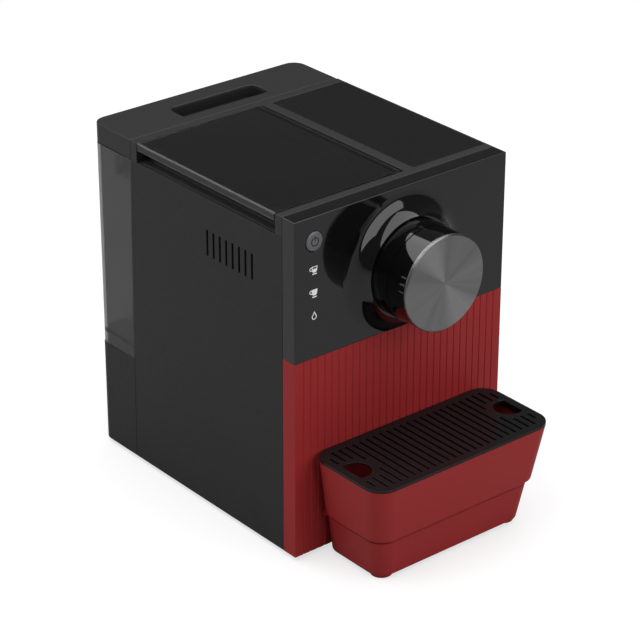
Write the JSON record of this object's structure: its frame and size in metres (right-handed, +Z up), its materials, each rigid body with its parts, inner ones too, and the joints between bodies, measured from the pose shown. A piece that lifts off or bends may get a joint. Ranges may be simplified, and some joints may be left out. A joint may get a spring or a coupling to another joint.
{
  "type": "espresso machine",
  "caption": "Compact bean-to-cup espresso machine: black box body with a ribbed red front panel, turning steel-faced brew head, slide-out drip tray and rear water tank.",
  "frame": {"origin": "middle of the bounding box at the height of the surface that the feet stand on", "axes": "+Z up, front of the machine towards -Y, +X to the right seen from the front"},
  "size_m": [0.18, 0.288, 0.2461],
  "materials": {
    "black_shell": "satin",
    "frame_black": "satin",
    "panel_dark": "fine matte",
    "red_shell": "satin",
    "fascia_gloss": "high gloss",
    "head_gloss": "high gloss",
    "steel_disc": "radially brushed",
    "white_print": "printed",
    "button_grey": "satin",
    "smoked_clear": "smoked clear",
    "tank_clear": "clear",
    "grille_gloss": "high gloss",
    "tray_inner": "matte",
    "foot_rubber": "matte",
    "hose_silicone": "satin",
    "seal_rubber": "matte",
    "steel_part": "machined",
    "spring_steel": "drawn wire",
    "brass_gear": "machined",
    "white_plastic": "matte",
    "motor_can": "zinc grey",
    "cast_block": "cast",
    "circuit_green": "lacquered"
  },
  "bodies": {
    "housing": {"base_plate": "black_shell", "rubber_feet": "foot_rubber", "side_panel_left": "black_shell", "side_panel_right": "black_shell", "front_panel": "red_shell", "tray_plinth": "red_shell", "fascia": "fascia_gloss", "top_frame": "frame_black", "top_panel_right": "panel_dark", "rear_panel": "black_shell", "tank_dock": "black_shell", "tank_socket": "black_shell", "power_inlet": "black_shell", "inlet_pins": "steel_part", "mid_plate": "motor_can", "drawer_guides": "tray_inner", "case_screws": "steel_part", "head_collar": "head_gloss", "head_barrel": "head_gloss", "button_spring": "spring_steel", "touch_icons": "white_print", "touch_board": "circuit_green", "lid_hinge_pins": "steel_part", "bean_hopper": "tray_inner", "hopper_seal": "foot_rubber", "grinder_body": "frame_black", "upper_burr": "steel_part", "grinder_motor": "motor_can", "grounds_chute": "tray_inner", "brew_frame": "frame_black", "lower_piston": "white_plastic", "upper_piston": "steel_part", "piston_seal": "seal_rubber", "brew_motor": "motor_can", "thermoblock": "cast_block", "pump": "motor_can", "pump_mounts": "foot_rubber", "flow_meter": "white_plastic", "water_hoses": "hose_silicone", "control_board": "circuit_green"},
    "cap": {"cap_shell": "head_gloss", "cap_disc": "steel_disc", "cap_ticks": "white_print", "coffee_spout": "tray_inner"},
    "button": {"power_button": "button_grey", "power_symbol": "tray_inner"},
    "lid": {"hopper_lid": "smoked_clear"},
    "dial": {"grind_dial": "button_grey"},
    "grinder_rotor": {"lower_burr": "steel_part", "grinder_shaft": "steel_part"},
    "screw": {"lead_screw": "steel_part", "screw_gear": "white_plastic"},
    "pinion": {"motor_pinion": "brass_gear"},
    "chamber": {"brew_chamber": "white_plastic"},
    "drawer": {"drip_tray": "red_shell", "drawer_carrier": "tray_inner", "grounds_bin": "tray_inner"},
    "grille": {"drip_grille": "grille_gloss"},
    "tank": {"water_tank": "tank_clear"},
    "tank_lid": {"tank_lid": "frame_black"}
  },
  "joints": [
    {"name": "cap_turn", "type": "hinge", "parent": "housing", "child": "cap", "pos_m": [0, -0.1053, 0.1923], "axis": [0, -1, 0], "range_deg": [0, 30]},
    {"name": "button_press", "type": "slide", "parent": "housing", "child": "button", "axis": [0, 1, 0], "range_m": [0, 0.001], "stiffness_N_per_m": 800, "springref_m": -0.001, "deforming": ["button_spring"]},
    {"name": "hopper_lid_hinge", "type": "hinge", "parent": "housing", "child": "lid", "pos_m": [0.01435, 0.0177, 0.24335], "axis": [0, 1, 0], "range_deg": [0, 95]},
    {"name": "dial_turn", "type": "hinge", "parent": "housing", "child": "dial", "pos_m": [-0.072, -0.042, 0.223], "axis": [0, 0, 1], "range_deg": [-120, 120]},
    {"name": "grinder_spin", "type": "hinge", "parent": "housing", "child": "grinder_rotor", "pos_m": [-0.038, 0.0177, 0.163], "axis": [0, 0, 1], "continuous": true},
    {"name": "screw_spin", "type": "hinge", "parent": "housing", "child": "screw", "pos_m": [0.046, 0.0367, 0.133], "axis": [0, 0, 1], "range_deg": [-1, 1081]},
    {"name": "pinion_spin", "type": "hinge", "parent": "housing", "child": "pinion", "pos_m": [0.071, 0.0367, 0.093], "axis": [0, 0, 1], "range_deg": [-2779, 2]},
    {"name": "chamber_lift", "type": "slide", "parent": "housing", "child": "chamber", "axis": [0, 0, 1], "range_m": [0, 0.03]},
    {"name": "drawer_slide", "type": "slide", "parent": "housing", "child": "drawer", "axis": [0, -1, 0], "range_m": [0, 0.1]},
    {"name": "grille_lift", "type": "slide", "parent": "drawer", "child": "grille", "axis": [0, 0, 1], "range_m": [0, 0.04]},
    {"name": "tank_lift", "type": "slide", "parent": "housing", "child": "tank", "axis": [0, 0, 1], "range_m": [0, 0.12]},
    {"name": "tank_lid_lift", "type": "slide", "parent": "tank", "child": "tank_lid", "axis": [0, 0, 1], "range_m": [0, 0.05]}
  ],
  "couplings": [
    {"joint": "screw_spin", "follows": "chamber_lift", "rad_per_m": 628.32},
    {"joint": "pinion_spin", "follows": "chamber_lift", "rad_per_m": -1615.7}
  ]
}
